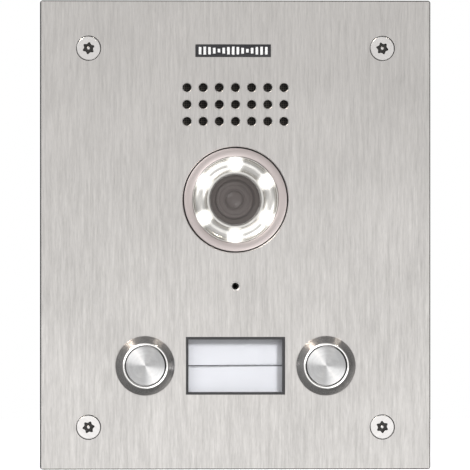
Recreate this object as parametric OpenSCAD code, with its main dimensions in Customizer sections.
// Door intercom panel: a brushed steel face with a camera, a loudspeaker, a microphone,
// two call buttons and a lit name card window.
// +X is to the right, +Y goes into the wall and +Z is up. The origin is the middle of the
// four fixing screws, on the wall.

/* [Plate] */
// Width of the face plate
plate_w = 180; // [150:1:260]
// Height of the face plate
plate_h = 216; // [208:1:320]
// Thickness of the face plate
plate_t = 3; // [2.4:0.1:4]
// Radius of the plate's four corners
corner_r = 1.2; // [0.8:0.1:4]
// Chamfer round the plate's front edge
edge_c = 0.4; // [0.2:0.1:0.6]
// Chamfer on the edge of each round hole
hole_c = 0.3; // [0.1:0.1:0.4]
// Thickness of the seal between the plate and the wall
gasket_t = 1.5; // [1:0.1:3]
// Width of the seal
gasket_w = 9.5; // [6:0.5:12]
// Distance from the plate's edge to the seal
gasket_inset = 2; // [1:0.5:4]

/* [Fixing screws] */
// Distance from the plate's side to a screw
screw_side = 22.2; // [19:0.1:30]
// Distance from the plate's top to the upper screws
screw_top = 22; // [20:0.1:30]
// Distance from the plate's bottom to the lower screws
screw_bottom = 19.5; // [18:0.1:30]
// Radius of the screw's thread
screw_r = 3; // [2:0.1:3.5]
// Radius of the screw's countersunk head
screw_head_r = 5.55; // [4.5:0.05:6]
// Length of the screw behind the wall plane
screw_reach = 18; // [10:1:30]
// Depth of the star-shaped recess
recess_depth = 1.9; // [1:0.1:2.2]

/* [Badge] */
// Width of the blank badge
badge_w = 34.8; // [20:0.1:50]
// Height of the blank badge
badge_h = 5.8; // [4:0.1:10]
// Distance from the plate's top to the badge's middle
badge_top = 23.1; // [15:0.1:40]
// Distance from the plate's middle to the badge's middle, towards the left
badge_left = 1.1; // [0:0.1:10]

/* [Loudspeaker] */
// Holes in a row
grille_columns = 7; // [3:1:9]
// Rows of holes
grille_rows = 3; // [1:1:4]
// Distance between two holes in a row
grille_pitch_x = 7.46; // [5:0.01:8]
// Distance between two rows
grille_pitch_z = 7.78; // [5:0.01:8]
// Radius of a hole
grille_r = 2; // [1:0.1:2.4]
// Width of the loudspeaker
speaker_w = 54; // [50:1:64]
// Height of the loudspeaker
speaker_h = 28; // [26:1:34]
// Depth of the loudspeaker with its magnet
speaker_d = 15; // [13:0.5:17]

/* [Camera] */
// Height of the lens axis above the origin
cam_z = 17.5; // [10:0.25:24]
// Radius of the camera's bezel
cam_r = 23.8; // [20:0.1:29]
// Width of the bezel's flat face
bezel_face = 3.8; // [2.5:0.1:5]
// Radius of the smoked window
window_r = 12; // [11:0.1:12.8]
// Radius of the circle that the lamps stand on
lamp_circle_r = 16.7; // [16.2:0.1:17]
// Radius of a lamp
lamp_r = 2.2; // [1.5:0.1:2.3]
// Lamps round the lens
lamp_count = 6; // [4:1:8]
// How far the lens can be turned each way, in degrees
swing = 8; // [0:1:8]

/* [Microphone] */
// Radius of the hole in the plate
mic_hole_r = 1.6; // [1:0.1:2]
// Radius of the rubber boot
mic_boot_r = 5.5; // [5:0.1:7]
// Distance from the camera's flange to the boot
mic_gap = 7.3; // [4:0.1:12]

/* [Call buttons] */
// Radius of the threaded body
button_body_r = 11; // [10:0.1:13.2]
// How far the head stands out past the body
button_lip = 2.7; // [2:0.1:3]
// Height of the head on the plate
button_head_h = 3; // [2.5:0.1:4]
// Width of the bright rim at the top of the head
button_rim = 0.9; // [0.6:0.1:1.2]
// How far the cap goes in when it is pressed
button_travel = 1.5; // [1:0.1:1.8]
// Thickness of the nut
button_nut_t = 4; // [3:0.5:6]

/* [Name cards] */
// Width of the window in the plate
window_w = 45.8; // [38:0.1:56]
// Height of the window in the plate
window_h = 26.6; // [22:0.1:28]
// Width of the black collar seen round the window
collar_w = 1.1; // [0.8:0.1:2]
// Depth of the cards behind the plate's front
card_depth = 4.8; // [4.4:0.1:6]
// Gap between the two cards
card_gap = 0.5; // [0.3:0.1:1]

/* [Electronics case] */
// Half of the case's width
case_half_w = 46; // [44:0.5:52]
// Thickness of its walls
case_wall = 2; // [1.6:0.1:2.4]
// Depth of the case and its cover behind the plate
case_d = 34.5; // [34.5:0.5:44]
// Poles of the plug-in terminal
terminal_poles = 6; // [3:1:6]

/* [Clearances] */
// Gap round a piece that is pushed into another
fit = 0.1; // [0.05:0.01:0.2]
// Gap round a pin that turns
turn_fit = 0.05; // [0.03:0.01:0.1]
// Gap round the bezel and the button caps
reveal = 0.6; // [0.3:0.1:0.8]

/* [Hidden] */
$fn = 64;

// Planes, from the front of the plate to the back of the case
plate_back = -gasket_t;
plate_front = plate_back - plate_t;
case_in = plate_back + case_wall;
cover_front = plate_back + case_d - case_wall;
cover_back = plate_back + case_d;
board_t = 1.6;
board_front = cover_front - 8;
board_back = board_front + board_t;

// Plate and screws
plate_z = (screw_top - screw_bottom) / 2;
screw_x = plate_w / 2 - screw_side;
screw_z = (plate_h - screw_top - screw_bottom) / 2;
screw_play = 0.3;
screw_sink = 0.1;
neck_r = screw_r - 0.35;
star_turns = [10, 34, 22, 48];
badge_z = plate_z + plate_h / 2 - badge_top;
badge_sink = 0.4;
badge_t = 0.5;

// The column of parts above and below the camera
flange_lip = 3.2;
flange_r = cam_r + flange_lip;
flange_t = 1.5;
speaker_gap = 2.9;
speaker_z = cam_z + flange_r + speaker_gap + speaker_h / 2;
case_over = 7.85;
case_top = speaker_z + speaker_h / 2 + case_over;
mic_z = cam_z - flange_r - mic_gap - mic_boot_r;
case_under = 2.95;
case_bottom = mic_z - mic_boot_r - case_under;
case_h = case_top - case_bottom;
case_z = (case_top + case_bottom) / 2;

// Row of the window and the buttons
holder_side = 2.1;
holder_w = window_w + 2 * holder_side;
holder_rise = 11.2;
holder_h = window_h + 2 * holder_rise;
row_gap = 3.75;
row_z = case_bottom - row_gap - holder_h / 2;
nut_wall = 2.5;
nut_flat_r = button_body_r + nut_wall;
nut_corner_r = nut_flat_r / cos(30);
button_gap = 1.16;
button_x = holder_w / 2 + nut_corner_r + button_gap;

// Studs and nuts
stud_r = 2;
stud_reach = 9.5;
stud_flat_r = 3.5;
nut_t = 3.2;
ear_t = 3;
ear_w = 11;
ear_h = 12;
ear_x = case_half_w + ear_w / 2;
ear_upper_z = case_top - 15;
ear_lower_z = case_bottom + 13;
holder_stud_rise = holder_h / 2 - 4.5;
holder_flange_t = 2;

// Camera optics, measured back from the plate's front
bezel_bore_r = cam_r - bezel_face;
rim_y = plate_front + 0.9;
trough_d = 2.3;
trough_in = window_r + 1.1;
trough_out = bezel_bore_r - 0.7;
window_y = plate_front + 1.5;
window_t = 1.3;
window_dome = 0.5;
ledge_r = window_r - 0.6;
ledge_t = 1;
shroud_y = window_y + window_t + ledge_t;
shroud_t = 1.2;
shroud_r = 9.4;
lamp_board_y = shroud_y + 1.9;
lamp_board_t = 1.4;
cradle_y = max(lamp_board_y + lamp_board_t, case_in + flange_t);
cradle_t = 1.6;
pivot_y = cradle_y + 8.4;
gimbal_half = 3.5;
gimbal_in = 16.5;
gimbal_out = 19.5;
pin_r = 1.5;
ear_in = gimbal_out + 1;
ear_out = ear_in + 3;
cradle_half = ear_out + 3;
stake_at = flange_r * 0.87;
body_r = 12.2;
body_half = 5;
barrel_r = 8.6;
barrel_neck_r = 7;
barrel_front = pivot_y - 8.4;
glass_r = 4.3;
lens_board = 21;

// Loudspeaker
mesh_t = 0.4;
foam_t = 1.2;
frame_t = 2;
magnet_r = 11;
magnet_t = 6.5;
frame_y = case_in + foam_t;
magnet_y = case_in + speaker_d - magnet_t;
speaker_r = 5;
foam_w = 3.5;
cone_y = frame_y + 0.4;
cone_t = 0.5;
cone_r = magnet_r - 1;
cone_gap = 0.3;
coil_r = 4.7;
coil_t = 0.5;
coil_gap = 0.35;
coil_reach = 1.6;

// Case
case_r = 3;
post_x = case_half_w - case_wall - 4;
post_upper_z = case_top - case_wall - 4;
post_lower_z = case_bottom + case_wall + 4;
post_r = 3.2;
pilot_r = 1.25;
cover_screw_r = 1.2;
lip_t = 1.2;
lip_d = 2.5;

// Rear connectors and trimmers
terminal_pitch = 5.08;
terminal_w = terminal_poles * terminal_pitch;
terminal_z = case_bottom + 12;
header_z = terminal_z + 16;
header_pitch = 22;
trimmer_x = 36;
trimmer_r = 3;

// Button, measured back from the plate's front
seal_t = 0.4;
head_r = button_body_r + button_lip;
head_top = plate_front - seal_t - button_head_h;
rim_out = button_body_r - 0.55;
cap_bore_r = rim_out - button_rim;
cap_r = cap_bore_r - reveal + 0.05;
cap_front = head_top + 0.35;
cap_back = cap_front + 4.6;
spring_seat = cap_back + 7.5;
stem_r = 3;
tip_r = 1.5;
throat_end = spring_seat + 3;
housing_end = plate_front + 21;
switch_front = throat_end + 3.2;
switch_end = switch_front + 11;
pin_reach = 5;
spring_r = 6.4;
spring_wire_r = 0.4;

// Name card holder
collar_front = plate_front + 0.25;
view_w = window_w - 2 * fit - 2 * collar_w;
view_h = window_h - 2 * fit - 2 * collar_w;
cover_t = 1.2;
card_t = 0.3;
card_y = plate_front + card_depth;
pocket_y = card_y - cover_t;
pocket_w = view_w + 2.8;
pocket_h = view_h + 2.8;
diffuser_t = 4;
light_gap = 1.6;
light_board_y = card_y + card_t + diffuser_t + light_gap;
light_board_t = 1.2;
holder_end = light_board_y + light_board_t + 1;

// Wires
wire_r = 0.65;
wire_side = 1.25;
plug_back = cover_back + 3;
light_plug_back = light_board_y + light_board_t + 9;
pin_side = 3.2;

// Solid between the planes y0 and y1 from an outline drawn in x and z
module slab(y0, y1) translate([0, y1, 0]) rotate([90, 0, 0]) linear_extrude(y1 - y0) children();

// Round bar along Y
module rod(r, y0, y1) translate([0, y0, 0]) rotate([-90, 0, 0]) cylinder(r = r, h = y1 - y0);

// Round bar along Y that changes from radius ra to rb
module taper(ra, rb, y0, y1) translate([0, y0, 0]) rotate([-90, 0, 0])
    cylinder(r1 = ra, r2 = rb, h = y1 - y0);

// Turned piece about a line along Y, from a list of [radius, y]
module turned(outline) rotate([-90, 0, 0]) rotate_extrude() polygon(outline);

// Box centred in x and z, between two planes
module block(w, h, y0, y1) translate([-w / 2, y0, -h / 2]) cube([w, y1 - y0, h]);

module at(x, z) translate([x, 0, z]) children();

// One copy at each of the four corners of a rectangle
module at_corners(x, z_low, z_high) for (sx = [-1, 1], z = [z_low, z_high]) at(sx * x, z) children();

module rounded(w, h, r) {
    square([w - 2 * r, h], center = true);
    square([w, h - 2 * r], center = true);
    for (sx = [-1, 1], sz = [-1, 1]) translate([sx * (w / 2 - r), sz * (h / 2 - r)]) circle(r = r);
}

// Hexagonal nut with a round bore
module hex_nut(flat_r, bore_r, y0, y1) difference() {
    corner_r = flat_r / cos(30) + 0.1;
    face_r = flat_r - 0.15;
    slope = (corner_r - face_r) * tan(30);
    intersection() {
        translate([0, y0, 0]) rotate([-90, 0, 0]) cylinder(r = flat_r / cos(30), h = y1 - y0, $fn = 6);
        turned([[0, y0], [face_r, y0], [corner_r, y0 + slope],
                [corner_r, y1 - slope], [face_r, y1], [0, y1]]);
    }
    rod(bore_r, y0 - 1, y1 + 1);
}

function unit(v) = v / norm(v);

// Round tube of straight pieces along a list of points; ref is a direction it never follows
module tube(path, r, ref, sides = 8) {
    last = len(path) - 1;
    rings = [for (i = [0:last]) let (
        t = unit(path[min(i + 1, last)] - path[max(i - 1, 0)]),
        u = unit(cross(t, ref)),
        v = cross(t, u)
    ) for (k = [0:sides - 1]) path[i] + r * (cos(360 * k / sides) * u + sin(360 * k / sides) * v)];
    walls = [for (i = [0:last - 1], k = [0:sides - 1]) let (
        a = i * sides + k,
        b = i * sides + (k + 1) % sides
    ) each [[a, a + sides, b], [b, a + sides, b + sides]]];
    start = [for (k = [0:sides - 1]) k];
    end = [for (k = [sides - 1:-1:0]) last * sides + k];
    polyhedron(concat(rings), concat([start], walls, [end]));
}

// Smooth curve from p0 to p3 that leaves towards p1 and arrives from p2
function bezier(p0, p1, p2, p3, steps) = [for (i = [0:steps]) let (s = i / steps)
    pow(1 - s, 3) * p0 + 3 * s * pow(1 - s, 2) * p1 + 3 * s * s * (1 - s) * p2 + pow(s, 3) * p3];

// Face plate

module hole(r, c) {
    rod(r, plate_front - 1, plate_back + 1);
    taper(r + c + 0.1, r, plate_front - 0.1, plate_front + c);
}

module edge_cut(length, turn) rotate([0, turn, 0]) rotate([45, 0, 0])
    cube([length, edge_c * sqrt(2), edge_c * sqrt(2)], center = true);

module front_plate() color("silver") difference() {
    at(0, plate_z) slab(plate_front, plate_back) rounded(plate_w, plate_h, corner_r);
    for (s = [-1, 1]) {
        translate([0, plate_front, plate_z + s * plate_h / 2]) edge_cut(plate_w + 2, 0);
        translate([s * plate_w / 2, plate_front, plate_z]) edge_cut(plate_h + 2, 90);
    }
    at_grille() hole(grille_r, hole_c);
    at(0, mic_z) hole(mic_hole_r, hole_c * 2);
    at(0, cam_z) hole(cam_r + reveal, hole_c);
    for (s = [-1, 1]) at(s * button_x, row_z) hole(button_body_r + fit, 0);
    at(0, row_z) block(window_w, window_h, plate_front - 1, plate_back + 1);
    at(-badge_left, badge_z)
        block(badge_w + 2 * fit, badge_h + 2 * fit, plate_front - 1, plate_front + badge_sink);
    at_corners(screw_x, -screw_z, screw_z) {
        rod(screw_r + screw_play, plate_front - 1, plate_back + 1);
        screw_cone(screw_head_r + 0.25, plate_front, screw_r + screw_play);
    }
}

// Cone with sides at 45 degrees, widest at y
module screw_cone(r, y, r_end) {
    taper(r, r_end, y, y + r - r_end);
    rod(r, y - 1, y);
}

module at_grille() for (i = [0:grille_columns - 1], j = [0:grille_rows - 1])
    at((i - (grille_columns - 1) / 2) * grille_pitch_x,
       speaker_z + (j - (grille_rows - 1) / 2) * grille_pitch_z) children();

module name_badge() color("#3a3a3c") at(-badge_left, badge_z)
    slab(plate_front + badge_sink - badge_t, plate_front + badge_sink) rounded(badge_w, badge_h, 0.4);

// Six-lobed star with a pin left standing in its middle
module star() {
    lobes = 6;
    difference() {
        union() {
            circle(r = 2);
            for (k = [0:lobes - 1]) rotate(k * 360 / lobes) translate([2.1, 0]) circle(r = 0.68);
        }
        circle(r = 0.95);
    }
}

module fixing_screw(turn) {
    head = plate_front + screw_sink;
    difference() {
        turned([[0, head], [screw_head_r, head], [neck_r, head + screw_head_r - neck_r],
                [neck_r, 0], [screw_r, 0], [screw_r, screw_reach - 1],
                [screw_r - 1, screw_reach], [0, screw_reach]]);
        rotate([0, turn, 0]) slab(head - 1, head + recess_depth) star();
    }
}

module fixing_screws() color("gainsboro")
    for (i = [0:3]) at((i % 2 * 2 - 1) * screw_x, (floor(i / 2) * 2 - 1) * screw_z)
        fixing_screw(star_turns[i]);

module screw_retainers() color("white") at_corners(screw_x, -screw_z, screw_z) difference() {
    rod(screw_r + 2.6, plate_back + fit, -fit);
    rod(neck_r + turn_fit, plate_back - 1, 1);
}

// Four strips of foam, cut square and butted at the corners
module plate_gasket() color("#303030") at(0, plate_z) for (s = [-1, 1]) {
    length = plate_w - 2 * gasket_inset;
    height = plate_h - 2 * (gasket_inset + gasket_w + fit);
    at(0, s * (plate_h / 2 - gasket_inset - gasket_w / 2)) block(length, gasket_w, plate_back, 0);
    at(s * (plate_w / 2 - gasket_inset - gasket_w / 2), 0) block(gasket_w, height, plate_back, 0);
}

module at_studs() {
    at_corners(ear_x, ear_lower_z, ear_upper_z) children();
    at_corners(0, row_z - holder_stud_rise, row_z + holder_stud_rise) children();
}

module weld_studs() color("silver") {
    for (sx = [-1, 1], z = [ear_lower_z, ear_upper_z]) at(sx * ear_x, z) weld_stud();
    for (sz = [-1, 1]) at(0, row_z + sz * holder_stud_rise) weld_stud();
}

module weld_stud() turned([[0, plate_back], [stud_r + 0.7, plate_back], [stud_r, plate_back + 0.6],
    [stud_r, stud_reach - 0.6], [stud_r - 0.6, stud_reach], [0, stud_reach]]);

module stud_nuts() color("lightsteelblue") {
    for (sx = [-1, 1], z = [ear_lower_z, ear_upper_z]) at(sx * ear_x, z)
        stud_nut(plate_back + ear_t);
    for (sz = [-1, 1]) at(0, row_z + sz * holder_stud_rise) stud_nut(plate_back + holder_flange_t);
}

// Nut with the round washer face it bears on
module stud_nut(seat) {
    difference() {
        rod(stud_flat_r + 1, seat, seat + 0.8);
        rod(stud_r + turn_fit, seat - 1, seat + 2);
    }
    hex_nut(stud_flat_r, stud_r + turn_fit, seat + 0.8, seat + 0.8 + nut_t);
}

// Loudspeaker

module speaker_mesh() color("#202020") at(0, speaker_z)
    slab(plate_back, plate_back + mesh_t) rounded(speaker_w - 1, speaker_h - 2, 2);

module speaker_gasket() color("#404040") at(0, speaker_z) difference() {
    slab(case_in, frame_y) rounded(speaker_w, speaker_h, speaker_r);
    slab(case_in - 1, frame_y + 1) rounded(speaker_w - foam_w, speaker_h - foam_w, speaker_r - foam_w / 2);
}

// Pressed basket: a flange, a bowl and four windows cut in the bowl
module speaker_frame() color("dimgray") at(0, speaker_z) difference() {
    union() {
        slab(frame_y, frame_y + frame_t) rounded(speaker_w, speaker_h, speaker_r);
        taper(magnet_r + 2, magnet_r - 1, frame_y + frame_t, magnet_y);
    }
    slab(frame_y - 1, frame_y + frame_t - 0.8) rounded(speaker_w - foam_w, speaker_h - foam_w, speaker_r - foam_w / 2);
    taper(magnet_r + 1, magnet_r - 2, frame_y - 0.1, magnet_y - 1);
    rod(coil_r + coil_gap, magnet_y - 2, magnet_y + 1);
    for (turn = [45:90:315]) rotate([0, turn, 0])
        translate([magnet_r + 0.5, (frame_y + frame_t + magnet_y) / 2, 0]) cube([6, 2.4, 6], center = true);
}

// Soft sheet round the cone, which lets it move
module speaker_surround() color("#2b2b2b") at(0, speaker_z) difference() {
    inset = foam_w / 2 + fit;
    slab(cone_y, cone_y + cone_t)
        rounded(speaker_w - 2 * inset, speaker_h - 2 * inset, speaker_r - inset);
    rod(cone_r + cone_gap, cone_y - 1, cone_y + 1);
}

// Paper cone with its dust cap and the tube of its voice coil
module speaker_cone() color("#39383a") at(0, speaker_z) {
    neck = cone_y + 3.6;
    coil_end = magnet_y + coil_reach;
    turned([[0, cone_y + 1.6], [2.6, cone_y + 2], [coil_r - 0.3, neck - 0.7], [cone_r, cone_y],
            [cone_r, cone_y + cone_t], [coil_r, neck], [coil_r, coil_end],
            [coil_r - coil_t, coil_end], [coil_r - coil_t, neck - 0.2], [0, neck - 1.2]]);
}

// Magnet with the round gap that the voice coil moves in
module speaker_magnet() color("silver") at(0, speaker_z) difference() {
    turned([[0, magnet_y], [magnet_r, magnet_y], [magnet_r, magnet_y + magnet_t - 0.6],
            [magnet_r - 0.6, magnet_y + magnet_t], [0, magnet_y + magnet_t]]);
    difference() {
        rod(coil_r + coil_gap, magnet_y - 1, magnet_y + coil_reach + 1.2);
        rod(coil_r - coil_t - coil_gap, magnet_y - 2, magnet_y + coil_reach + 2);
    }
}

// Microphone

module microphone_boot() color("#252525") at(0, mic_z) difference() {
    union() {
        rod(mic_boot_r, case_in, case_in + 6);
        rod(mic_hole_r - fit, plate_back, case_in);
    }
    rod(1, plate_back - 1, case_in + 2);
    rod(3 + fit, case_in + 1.5, case_in + 7);
}

module microphone_capsule() color("lightgray") at(0, mic_z) {
    rod(3, case_in + 1.6, case_in + 5);
    for (s = [-1, 1]) at(s * 1.2, 0) rod(0.3, case_in + 5, case_in + 8);
}

// Camera

module camera_bezel() color("#b4aeac") at(0, cam_z) {
    front = plate_front + 0.1;
    back = case_in + flange_t;
    c = 0.25;
    turned([[bezel_bore_r + c, front], [cam_r - c, front], [cam_r, front + c], [cam_r, case_in],
            [flange_r, case_in], [flange_r, back], [bezel_bore_r, back], [bezel_bore_r, front + c]]);
}

// Polished ring with a round trough that the lamps stand in
module led_reflector() color("whitesmoke") at(0, cam_z) {
    outer = bezel_bore_r - fit;
    back = lamp_board_y;
    middle = (trough_in + trough_out) / 2;
    half = (trough_out - trough_in) / 2;
    skin = 0.9;
    trough = [for (a = [0:15:180]) [middle + half * cos(a), rim_y + 0.3 + trough_d * sin(a)]];
    under = [for (a = [165:-15:15]) [middle + (half + 0.2) * cos(a), rim_y + 0.3 + skin + trough_d * sin(a)]];
    difference() {
        turned(concat(
            [[outer, rim_y], [trough_out + 0.2, rim_y]], trough,
            [[window_r + fit, rim_y + 0.3], [window_r + fit, window_y + window_t],
             [ledge_r, window_y + window_t], [ledge_r, shroud_y], [window_r + 0.7, shroud_y]],
            under,
            [[trough_out + 0.1, back], [outer, back]]
        ));
        at_lamps() rod(lamp_r + 0.15, rim_y - 1, back + 1);
    }
}

module at_lamps() for (k = [0:lamp_count - 1]) rotate([0, k * 360 / lamp_count, 0])
    translate([0, 0, lamp_circle_r]) children();

module led_ring_board() color("#1d6b3c") at(0, cam_z) difference() {
    rod(bezel_bore_r - 2 * fit, lamp_board_y, lamp_board_y + lamp_board_t);
    rod(window_r + 1, lamp_board_y - 1, lamp_board_y + 3);
}

module ring_leds() color("white") at(0, cam_z) at_lamps() {
    dome_y = rim_y + 2.6;
    turned(concat([[0, lamp_board_y], [lamp_r, lamp_board_y]],
                  [for (a = [0:10:90]) [lamp_r * cos(a), dome_y - lamp_r * sin(a)]]));
}

// Smoked disc with a faintly domed front
module lens_window() color("#5c5654") at(0, cam_z) {
    sphere_r = (window_r * window_r + window_dome * window_dome) / (2 * window_dome);
    reach = asin(window_r / sphere_r);
    turned(concat(
        [for (i = [0:12]) let (a = reach * i / 12)
            [sphere_r * sin(a), window_y - window_dome + sphere_r * (1 - cos(a))]],
        [[window_r, window_y + window_t], [0, window_y + window_t]]
    ));
}

// Matt ring that frames the lens, with three pairs of bright pins
module lens_shroud() color("#3c3836") at(0, cam_z) {
    turned([[shroud_r, shroud_y + 0.2], [shroud_r + 0.4, shroud_y], [window_r + 0.6, shroud_y],
            [window_r + 0.6, shroud_y + shroud_t], [shroud_r, shroud_y + shroud_t]]);
    for (group = [-60:120:180], side = [-9, 9]) rotate([0, -group - side, 0])
        translate([(shroud_r + ledge_r) / 2 + 0.1, 0, 0]) rod(0.32, shroud_y - 0.3, shroud_y);
}

// Plate with two ears that carry the gimbal's upright pins
module camera_cradle() color("#4a4a4c") at(0, cam_z) difference() {
    union() {
        slab(cradle_y, cradle_y + cradle_t) rounded(2 * stake_at + 7, 2 * cradle_half, 3);
        for (s = [-1, 1]) translate([0, 0, s * (ear_in + ear_out) / 2])
            block(8, ear_out - ear_in, cradle_y + cradle_t, pivot_y + 3.5);
    }
    rod(14.5, cradle_y - 1, cradle_y + cradle_t + 1);
    for (s = [-1, 1]) translate([0, pivot_y, s * (ear_in - 1)]) rotate([s < 0 ? 180 : 0, 0, 0])
        cylinder(r = pin_r + turn_fit, h = ear_out - ear_in + 2);
    at_corners(stake_at, -stake_at * 0.9, stake_at * 0.9) rod(1 + turn_fit, cradle_y - 1, cradle_y + 3);
}

// Ring that pans on upright pins and holds the lens pod's level pins
module camera_gimbal() color("#55565a") translate([0, pivot_y, cam_z]) difference() {
    union() {
        rod(gimbal_out, -gimbal_half, gimbal_half);
        for (s = [-1, 1]) rotate([s < 0 ? 180 : 0, 0, 0]) translate([0, 0, gimbal_out - 1])
            cylinder(r = pin_r, h = ear_out - gimbal_out + 0.7);
    }
    rod(gimbal_in, -gimbal_half - 1, gimbal_half + 1);
    for (s = [-1, 1]) rotate([0, s * 90, 0]) translate([0, 0, gimbal_in - 1])
        cylinder(r = pin_r + turn_fit, h = gimbal_out - gimbal_in + 2);
}

module camera_body() color("#2e2f31") translate([0, pivot_y, cam_z]) difference() {
    union() {
        rod(body_r, -body_half + 0.5, body_half + 0.5);
        for (s = [-1, 1]) rotate([0, s * 90, 0]) {
            translate([0, 0, body_r - 1]) cylinder(r = pin_r + 1.3, h = gimbal_in - body_r + 0.4);
            translate([0, 0, body_r - 1]) cylinder(r = pin_r, h = gimbal_out - body_r + 0.6);
        }
    }
    rod(barrel_neck_r + turn_fit, -body_half - 1, body_half - 1);
}

// Lens barrel with two steps in its mouth
module lens_barrel() color("#262425") at(0, cam_z) {
    shoulder = pivot_y - body_half + 0.5;
    turned([[7.9, barrel_front], [barrel_r, barrel_front], [barrel_r, shoulder], [barrel_neck_r, shoulder],
            [barrel_neck_r, shoulder + 7], [glass_r + turn_fit, shoulder + 7],
            [glass_r + turn_fit, barrel_front + 1.6],
            [5.6, barrel_front + 1.5], [5.7, barrel_front + 0.9], [7.4, barrel_front + 0.7]]);
}

module lens_glass() color("#6a6a72") at(0, cam_z) {
    front = barrel_front + 1.2;
    dome = 1.1;
    sphere_r = (glass_r * glass_r + dome * dome) / (2 * dome);
    reach = asin(glass_r / sphere_r);
    turned(concat(
        [for (i = [0:8]) let (a = reach * i / 8) [sphere_r * sin(a), front + sphere_r * (1 - cos(a))]],
        [[glass_r, front + 4], [0, front + 4]]
    ));
}

module camera_board() color("#1d6b3c") translate([0, pivot_y + body_half + 0.5, cam_z]) {
    block(lens_board, lens_board, 0, 1.2);
    translate([0, 0, -6]) block(9, 3, 1.2, 3);
    block(7, 7, 1.2, 2.1);
}

// Case of the electronics

module case_outline(inset)
    rounded(2 * (case_half_w - inset), case_h - 2 * inset, max(case_r - inset, 0.4));

module module_case() color("#2a2a2c") difference() {
    union() {
        difference() {
            at(0, case_z) slab(plate_back, cover_front) case_outline(0);
            at(0, case_z) slab(case_in, cover_front + 1) case_outline(case_wall);
        }
        at_corners(ear_x, ear_lower_z, ear_upper_z)
            block(ear_w + 1, ear_h, plate_back, plate_back + ear_t);
        at_corners(post_x, post_lower_z, post_upper_z) rod(post_r, case_in - 0.5, board_front);
        at(0, cam_z) at_corners(stake_at, -stake_at * 0.9, stake_at * 0.9) {
            rod(2.6, case_in - 0.5, cradle_y);
            rod(1, cradle_y - 0.5, cradle_y + cradle_t + 0.2);
            taper(1.7, 0.9, cradle_y + cradle_t, cradle_y + cradle_t + 0.9);
        }
    }
    at_corners(ear_x, ear_lower_z, ear_upper_z) rod(stud_r + 0.8, plate_back - 1, plate_back + ear_t + 1);
    at_corners(post_x, post_lower_z, post_upper_z) rod(pilot_r, board_front - 8, board_front + 1);
    at(0, cam_z) rod(cam_r + fit, plate_back - 1, case_in + 1);
    at(0, mic_z) rod(mic_hole_r, plate_back - 1, case_in + 1);
    at(0, speaker_z) {
        slab(plate_back - 1, case_in + 1) rounded(speaker_w - 4, speaker_h - 5, 2);
        slab(plate_back - 1, plate_back + mesh_t) rounded(speaker_w - 1 + 2 * fit, speaker_h - 2 + 2 * fit, 2);
    }
}

module cover_holes() {
    at(0, terminal_z) block(terminal_w + 4.6, 11.4, cover_front - 1, cover_back + 1);
    for (i = [-1:1]) at(i * header_pitch, header_z) block(9, 8, cover_front - 1, cover_back + 1);
    for (s = [-1, 1]) at(s * trimmer_x, header_z) rod(trimmer_r + 0.5, cover_front - 1, cover_back + 1);
    for (i = [0:5]) at(0, speaker_z - 14 + i * 4.6) block(52, 2.2, cover_front - 1, cover_back + 1);
}

module module_rear_cover() color("#2d2d30") difference() {
    union() {
        at(0, case_z) slab(cover_front, cover_back) case_outline(0);
        at(0, case_z) difference() {
            slab(cover_front - lip_d, cover_front) case_outline(case_wall + 2 * fit);
            slab(cover_front - lip_d - 1, cover_front) case_outline(case_wall + 2 * fit + lip_t);
        }
        at_corners(post_x, post_lower_z, post_upper_z) rod(post_r, board_back, cover_front + 0.5);
    }
    cover_holes();
    at_corners(post_x, post_lower_z, post_upper_z) {
        rod(pilot_r + 0.15, board_back - 1, cover_back + 1);
        rod(2.6, cover_back - 1.4, cover_back + 1);
    }
    at(0, cam_z + 4) slab(cover_back - 0.3, cover_back + 1) rounded(56, 24, 2);
}

module rear_cover_screws() color("silver") at_corners(post_x, post_lower_z, post_upper_z) difference() {
    seat = cover_back - 1.4;
    turned([[0, board_front - 7], [0.5, board_front - 7], [cover_screw_r, board_front - 5.6],
            [cover_screw_r, seat], [2.4, seat], [2.4, seat + 0.7], [1.6, seat + 1.25], [0, seat + 1.25]]);
    block(2.6, 0.5, seat + 0.5, seat + 2);
    block(0.5, 2.6, seat + 0.5, seat + 2);
}

// Boards

module main_board() color("#1d6b3c") difference() {
    at(0, case_z) block(2 * (case_half_w - case_wall - 0.8), case_h - 2 * case_wall - 1.6, board_front, board_back);
    at_corners(post_x, post_lower_z, post_upper_z) rod(pilot_r + 0.15, board_front - 1, board_back + 1);
}

module board_parts() color("#1b1b1d") {
    at(-25, mic_z + 4) block(14, 14, board_front - 2, board_front);
    at(-25, mic_z + 20) block(8, 5, board_front - 1.6, board_front);
    for (x = [-30, 0, 30]) at(x, cam_z + 12) block(12, 8, board_back, board_back + 2);
    for (x = [-28, -20, -12]) at(x, speaker_z + 2) rod(3, board_back, board_back + 5.6);
    for (x = [8, 16, 24, 32]) at(x, speaker_z + 6) block(4, 7, board_back, board_back + 3);
    for (x = [8:5:33]) at(x, speaker_z - 6) block(2, 3.2, board_back, board_back + 1);
}

module lock_relay() color("#2f4f7f") at(28, mic_z + 4) {
    block(16, 12, board_front - 10, board_front - 0.3);
    for (x = [-6, 6], z = [-4, 4]) at(x, z) rod(0.5, board_front - 0.3, board_front);
}

module board_headers() color("ivory") for (i = [-1:1]) at(i * header_pitch, header_z) wire_header(board_back);

// Two-pole header that a wire plug is pushed into
module wire_header(seat) difference() {
    block(7.6, 6.4, seat, seat + 6);
    block(6.6, 5.2, seat + 1.2, seat + 7);
}

module wire_plug(seat, back) {
    block(6.6 - 2 * fit, 5.2 - 2 * fit, seat + 1.3, seat + 6);
    block(7.2, 5.8, seat + 6, back);
}

module wire_plugs() color("ivory") {
    for (i = [-1:1]) at(i * header_pitch, header_z) wire_plug(board_back, plug_back);
    at(0, row_z) wire_plug(light_board_y + light_board_t, light_plug_back);
}

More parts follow.
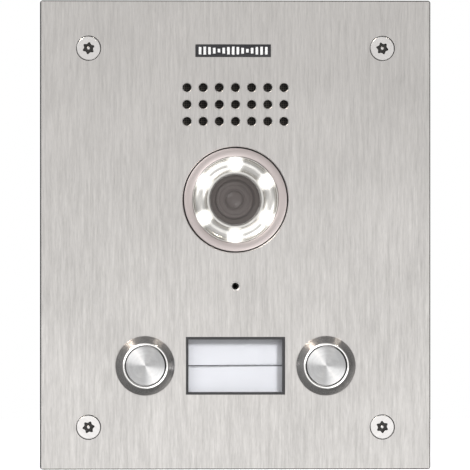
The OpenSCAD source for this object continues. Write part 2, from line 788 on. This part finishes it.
module terminal_socket() color("#2f7d4a") at(0, terminal_z) difference() {
    block(terminal_w + 3.4, 10.4, board_back, cover_back + 0.6);
    block(terminal_w + 1, 8, board_back + 1.4, cover_back + 2);
}

module terminal_plug() color("#3a9158") at(0, terminal_z) difference() {
    back = cover_back + 11;
    union() {
        block(terminal_w + 1 - 2 * fit, 8 - 2 * fit, board_back + 1.5, cover_back + 0.8);
        block(terminal_w + 2.6, 10, cover_back + 0.8, back);
    }
    at_poles() {
        rod(1.9, back - 3, back + 1);
        translate([0, cover_back + 4.6, -4]) cube([3.6, 3.6, 6], center = true);
    }
}

module at_poles() for (k = [0:terminal_poles - 1]) at((k - (terminal_poles - 1) / 2) * terminal_pitch, 0) children();

module terminal_screws() color("silver") at(0, terminal_z) at_poles() difference() {
    seat = cover_back + 8;
    rod(1.75, seat, seat + 1.6);
    block(4, 0.6, seat + 0.9, seat + 2);
}

// Preset volume controls, which a screwdriver turns

module trimmer_bases() color("#3558a0") for (s = [-1, 1]) at(s * trimmer_x, header_z) difference() {
    block(7.4, 7.4, board_back, cover_front - 1.4);
    rod(1.2 + turn_fit, board_back + 1, cover_front);
}

module trimmer(side) color("whitesmoke") at(side * trimmer_x, header_z) {
    seat = cover_front - 1.3;
    difference() {
        union() {
            rod(trimmer_r, seat, cover_back - 0.4);
            rod(1.2, board_back + 1.2, seat);
        }
        block(2 * trimmer_r - 1.4, 0.7, cover_back - 1.4, cover_back);
        block(0.7, trimmer_r, cover_back - 1.2, cover_back);
    }
}

// Name cards

module card_holder() color("#1e1e20") at(0, row_z) difference() {
    union() {
        block(window_w - 2 * fit, window_h - 2 * fit, collar_front, plate_back);
        slab(plate_back, plate_back + holder_flange_t) rounded(holder_w, holder_h, 2);
        block(pocket_w + 3.4, pocket_h + 4, plate_back + 0.5, holder_end);
    }
    block(view_w, view_h, collar_front - 1, card_y);
    block(pocket_w, pocket_h, pocket_y, holder_end + 1);
    for (s = [-1, 1]) at(0, s * holder_stud_rise) rod(stud_r + 0.8, plate_back - 1, plate_back + 3);
}

module card_cover() color("aliceblue", 0.4) at(0, row_z)
    block(pocket_w - 2 * fit, pocket_h - 2 * fit, pocket_y, card_y);

module name_card(side) color("white") at(0, row_z) {
    height = (pocket_h - 2 * fit - card_gap) / 2;
    at(0, side * (height + card_gap) / 2) block(pocket_w - 2 * fit, height, card_y, card_y + card_t);
}

module card_diffuser() color("white") at(0, row_z)
    block(pocket_w - 2 * fit, pocket_h - 2 * fit, card_y + card_t, card_y + card_t + diffuser_t);

module card_light_board() color("#1d6b3c") at(0, row_z) {
    back = light_board_y + light_board_t;
    block(pocket_w - 2 * fit, pocket_h - 2 * fit, light_board_y, back);
    for (x = [-16, 0, 16], z = [-6, 6]) at(x, z) block(3, 3, light_board_y - 1.2, light_board_y);
    difference() {
        block(7.6, 6.4, back, back + 6);
        block(6.6, 5.2, back + 1.2, back + 7);
    }
}

// Call buttons

module button_housing(side) color("silver") at(side * button_x, row_z) {
    foot = plate_front - seal_t;
    c = 0.25;
    turned([
        [cap_bore_r, head_top + c], [cap_bore_r + c, head_top], [rim_out - c, head_top],
        [rim_out, head_top + c], [head_r - 0.1, foot - 0.5], [head_r, foot - 0.4], [head_r, foot],
        [button_body_r, foot], [button_body_r, housing_end - 0.8], [button_body_r - 0.8, housing_end],
        [8.6, housing_end], [8.6, throat_end], [stem_r + fit, throat_end],
        [stem_r + fit, spring_seat], [cap_bore_r, spring_seat]
    ]);
}

module button_seals() color("#202020") for (side = [-1, 1]) at(side * button_x, row_z) difference() {
    rod(head_r - 0.25, plate_front - seal_t, plate_front);
    rod(button_body_r + fit, plate_front - 2, plate_front + 1);
}

module button_nuts() color("silver") for (side = [-1, 1]) at(side * button_x, row_z)
    hex_nut(nut_flat_r, button_body_r + turn_fit, plate_back, plate_back + button_nut_t);

// Cap with its stem, the clip that keeps it in and the tip that works the switch
module button_cap(side) color("whitesmoke") at(side * button_x, row_z) {
    clip = throat_end + 0.1;
    c = 0.3;
    turned([
        [0, cap_front + 0.15], [cap_r * 0.6, cap_front + 0.06], [cap_r - c, cap_front], [cap_r, cap_front + c],
        [cap_r, cap_back], [stem_r, cap_back], [stem_r, clip], [stem_r + 1.5, clip],
        [stem_r + 1.5, clip + 0.8], [stem_r, clip + 0.8], [tip_r, clip + 1.4],
        [tip_r, switch_front + 3], [0, switch_front + 3]
    ]);
}

module button_switch(side) color("#202024") at(side * button_x, row_z) {
    difference() {
        union() {
            rod(8.5, switch_front, housing_end);
            rod(9.6, housing_end, switch_end);
        }
        rod(tip_r + 2 * fit, switch_front - 1, switch_front + 3.5 + button_travel);
    }
    for (s = [-1, 1]) at(s * pin_side, 0) block(0.8, 2.8, switch_end, switch_end + pin_reach);
}

module button_spring(side) color("silver") at(side * button_x, row_z) {
    turns = 4;
    clear = spring_wire_r + 0.05;
    steps = 16 * turns;
    path = [for (i = [0:steps]) let (a = 360 * turns * i / steps)
        [spring_r * cos(a), cap_back + clear + (spring_seat - cap_back - 2 * clear) * i / steps,
         spring_r * sin(a)]];
    tube(path, spring_wire_r, [0, 1, 0]);
}

// Wires

// Wire that leaves one end straight back, bends over and comes down on the other from behind
module wire(from, to, loop) {
    lead = [0, 1.5, 0];
    bend = [0, loop, 0];
    path = bezier(from + lead, from + bend, to + bend, to + lead, 10);
    tube(concat([from], path, [to]), wire_r, [1, 0, 0]);
}

module button_wires() color("firebrick") for (s = [-1, 1], w = [-1, 1]) wire(
    [s * button_x + w * pin_side, switch_end + pin_reach, row_z],
    [s * header_pitch + w * wire_side, plug_back, header_z], 20);

module card_light_wires() color("gold") for (w = [-1, 1]) wire(
    [w * wire_side, light_plug_back, row_z], [w * wire_side, plug_back, header_z], 26);

front_plate();
name_badge();
fixing_screws();
screw_retainers();
plate_gasket();
weld_studs();
stud_nuts();
speaker_mesh();
speaker_gasket();
speaker_frame();
speaker_surround();
speaker_cone();
speaker_magnet();
microphone_boot();
microphone_capsule();
camera_bezel();
led_reflector();
led_ring_board();
ring_leds();
lens_window();
lens_shroud();
camera_cradle();
camera_gimbal();
camera_body();
lens_barrel();
lens_glass();
camera_board();
module_case();
module_rear_cover();
rear_cover_screws();
main_board();
board_parts();
lock_relay();
board_headers();
wire_plugs();
terminal_socket();
terminal_plug();
terminal_screws();
trimmer_bases();
trimmer(-1);  // speaker_trimmer
trimmer(1);  // microphone_trimmer
card_holder();
card_cover();
name_card(1);  // upper_name_card
name_card(-1);  // lower_name_card
card_diffuser();
card_light_board();
button_seals();
button_nuts();
button_housing(-1);  // left_button_housing
button_switch(-1);  // left_button_switch
button_spring(-1);  // left_button_spring
button_cap(-1);  // left_button_cap
button_housing(1);  // right_button_housing
button_switch(1);  // right_button_switch
button_spring(1);  // right_button_spring
button_cap(1);  // right_button_cap
button_wires();
card_light_wires();
